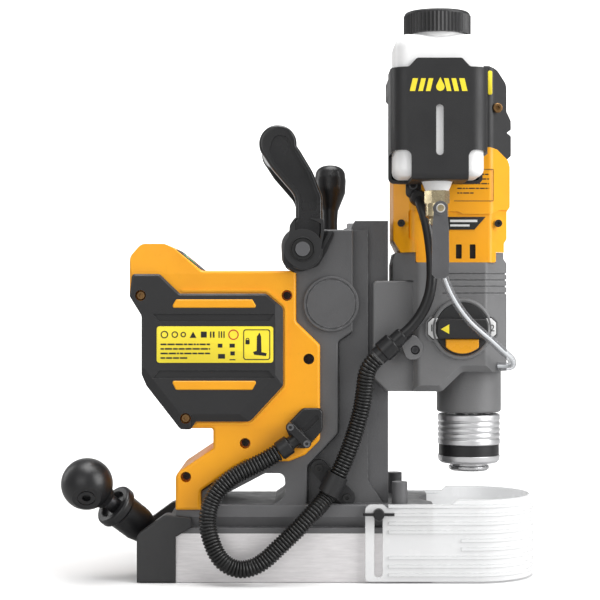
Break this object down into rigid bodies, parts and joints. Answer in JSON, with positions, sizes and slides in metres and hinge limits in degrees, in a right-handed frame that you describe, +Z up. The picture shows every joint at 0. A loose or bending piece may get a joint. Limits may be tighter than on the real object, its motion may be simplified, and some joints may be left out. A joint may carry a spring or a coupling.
{
  "type": "magnetic drill press",
  "caption": "Cordless magnetic drill press: magnet base with lever, rack-fed drill unit on a column, folding handle, coolant bottle and clear chip guard.",
  "frame": {"origin": "centre of the magnet's contact face, on the base's centre line", "axes": "+Z up, +X towards the spindle, -Y towards the side with the coolant bottle"},
  "size_m": [0.3707, 0.209, 0.4334],
  "materials": {
    "grey_casting": "painted, fine texture",
    "grey_steel": "painted satin",
    "magnet_steel": "ground, fine grain along X",
    "yellow_plastic": "moulded, satin",
    "black_plastic": "moulded, satin",
    "black_gloss": "smooth",
    "black_rubber": "ribbed",
    "steel": "machined",
    "chrome": "polished",
    "dark_steel": "black oxide",
    "brass": "machined",
    "white_plastic": "translucent moulding",
    "clear_plastic": "clear moulding",
    "clear_hose": "clear hose",
    "orange_plastic": "smooth",
    "green_plastic": "smooth",
    "red_plastic": "smooth",
    "board": "coated",
    "copper": "laminated core with windings"
  },
  "bodies": {
    "stand": {"magnet_block": "magnet_steel", "base_casting": "grey_casting", "rear_bracket": "black_plastic", "stand_frame": "grey_casting", "guide_rail": "grey_steel", "pinion_cover": "grey_casting", "pinion_bushes": "brass", "stand_screws": "dark_steel", "rear_housing_left": "yellow_plastic", "rear_housing_right": "yellow_plastic", "side_covers": "black_plastic", "control_panel": "black_plastic", "control_board": "board", "battery_dock": "black_plastic", "handle_bracket": "black_plastic", "cable_outlet": "black_plastic", "conduit_lower": "black_rubber", "conduit_clip": "black_plastic", "conduit_upper": "black_rubber"},
    "drill_unit": {"carriage": "grey_casting", "gib_strips": "brass", "rack": "steel", "gearbox_housing": "grey_casting", "gear_cover": "grey_casting", "bearings": "chrome", "motor_housing_left": "yellow_plastic", "motor_housing_right": "yellow_plastic", "motor_cap": "black_plastic", "motor_screws": "dark_steel", "motor_stator": "copper", "coolant_bottle": "white_plastic", "bottle_bracket": "black_plastic", "valve_body": "brass", "coolant_tube": "clear_hose", "motor_cable": "black_rubber"},
    "battery": {"battery_pack": "black_plastic"},
    "battery_latch": {"battery_release": "yellow_plastic"},
    "handle": {"carry_handle": "black_gloss"},
    "feed": {"pinion_shaft": "steel", "feed_hub": "dark_steel", "feed_spokes": "steel", "feed_grips": "black_gloss"},
    "magnet_switch": {"magnet_rotor": "steel", "lever_rod": "dark_steel", "lever_knob": "black_plastic"},
    "lock": {"lock_collar": "black_plastic"},
    "guard": {"chip_guard": "clear_plastic"},
    "wing_screw_left": {"guard_screw_left": "black_plastic"},
    "wing_screw_right": {"guard_screw_right": "black_plastic"},
    "start": {"start_button": "green_plastic"},
    "stop": {"stop_button": "red_plastic"},
    "rotor": {"motor_rotor": "steel"},
    "idler": {"idler_gear": "steel"},
    "spindle_shaft": {"spindle": "steel", "spindle_gear": "steel"},
    "chuck": {"chuck_sleeve": "chrome"},
    "selector": {"gear_knob": "black_plastic"},
    "selector_button": {"gear_button": "orange_plastic"},
    "cap": {"bottle_cap": "black_plastic"},
    "tap": {"valve_lever": "dark_steel"}
  },
  "joints": [
    {"name": "drill_slide", "type": "slide", "parent": "stand", "child": "drill_unit", "axis": [0, 0, 1], "range_m": [-0.06, 0.042], "deforming": ["conduit_upper"]},
    {"name": "feed_spin", "type": "hinge", "parent": "stand", "child": "feed", "pos_m": [0.024, 0, 0.215], "axis": [0, 1, 0], "range_deg": [-205, 300]},
    {"name": "spindle_spin", "type": "hinge", "parent": "drill_unit", "child": "spindle_shaft", "pos_m": [0.135, 0, 0.1], "axis": [0, 0, 1], "continuous": true},
    {"name": "idler_spin", "type": "hinge", "parent": "drill_unit", "child": "idler", "pos_m": [0.12775, 0.02035, 0.2], "axis": [0, 0, 1], "continuous": true},
    {"name": "motor_spin", "type": "hinge", "parent": "drill_unit", "child": "rotor", "pos_m": [0.1205, 0, 0.3], "axis": [0, 0, 1], "continuous": true},
    {"name": "chuck_twist", "type": "hinge", "parent": "spindle_shaft", "child": "chuck", "pos_m": [0.135, 0, 0.1], "axis": [0, 0, 1], "range_deg": [0, 30]},
    {"name": "magnet_lever", "type": "hinge", "parent": "stand", "child": "magnet_switch", "pos_m": [-0.105, 0, 0.02], "axis": [-1, 0, 0], "range_deg": [0, 77.5]},
    {"name": "lock_lift", "type": "slide", "parent": "magnet_switch", "child": "lock", "axis": [-0.6379, -0.4824, 0.6003], "range_m": [0, 0.006]},
    {"name": "handle_fold", "type": "hinge", "parent": "stand", "child": "handle", "pos_m": [0.002, 0, 0.257], "axis": [0, 1, 0], "range_deg": [-60, 0]},
    {"name": "battery_slide", "type": "slide", "parent": "stand", "child": "battery", "axis": [-1, 0, 0], "range_m": [0, 0.11]},
    {"name": "battery_release_press", "type": "slide", "parent": "battery", "child": "battery_latch", "axis": [1, 0, 0], "range_m": [0, 0.003]},
    {"name": "guard_slide", "type": "slide", "parent": "stand", "child": "guard", "axis": [0, 0, 1], "range_m": [0, 0.035]},
    {"name": "wing_screw_left_turn", "type": "hinge", "parent": "stand", "child": "wing_screw_left", "pos_m": [0.0605, -0.05, 0.0534], "axis": [0, 1, 0], "continuous": true},
    {"name": "wing_screw_right_turn", "type": "hinge", "parent": "stand", "child": "wing_screw_right", "pos_m": [0.0605, 0.05, 0.0534], "axis": [0, 1, 0], "continuous": true},
    {"name": "start_press", "type": "slide", "parent": "stand", "child": "start", "axis": [-0.6311, 0, -0.7757], "range_m": [0, 0.0015]},
    {"name": "stop_press", "type": "slide", "parent": "stand", "child": "stop", "axis": [-0.6311, 0, -0.7757], "range_m": [0, 0.0015]},
    {"name": "gear_select", "type": "hinge", "parent": "drill_unit", "child": "selector", "pos_m": [0.125, -0.045, 0.1956], "axis": [0, 1, 0], "range_deg": [0, 180]},
    {"name": "gear_button_press", "type": "slide", "parent": "selector", "child": "selector_button", "axis": [0, 1, 0], "range_m": [0, 0.0012]},
    {"name": "bottle_cap_turn", "type": "hinge", "parent": "drill_unit", "child": "cap", "pos_m": [0.103, -0.079, 0.42], "axis": [0, 0, 1], "continuous": true},
    {"name": "coolant_tap", "type": "hinge", "parent": "drill_unit", "child": "tap", "pos_m": [0.104, -0.096, 0.286], "axis": [0, 1, 0], "range_deg": [0, 90]}
  ],
  "couplings": [
    {"joint": "feed_spin", "follows": "drill_slide", "rad_per_m": -83.333},
    {"joint": "idler_spin", "follows": "spindle_spin", "ratio": -3.5},
    {"joint": "motor_spin", "follows": "spindle_spin", "ratio": 12.25}
  ]
}
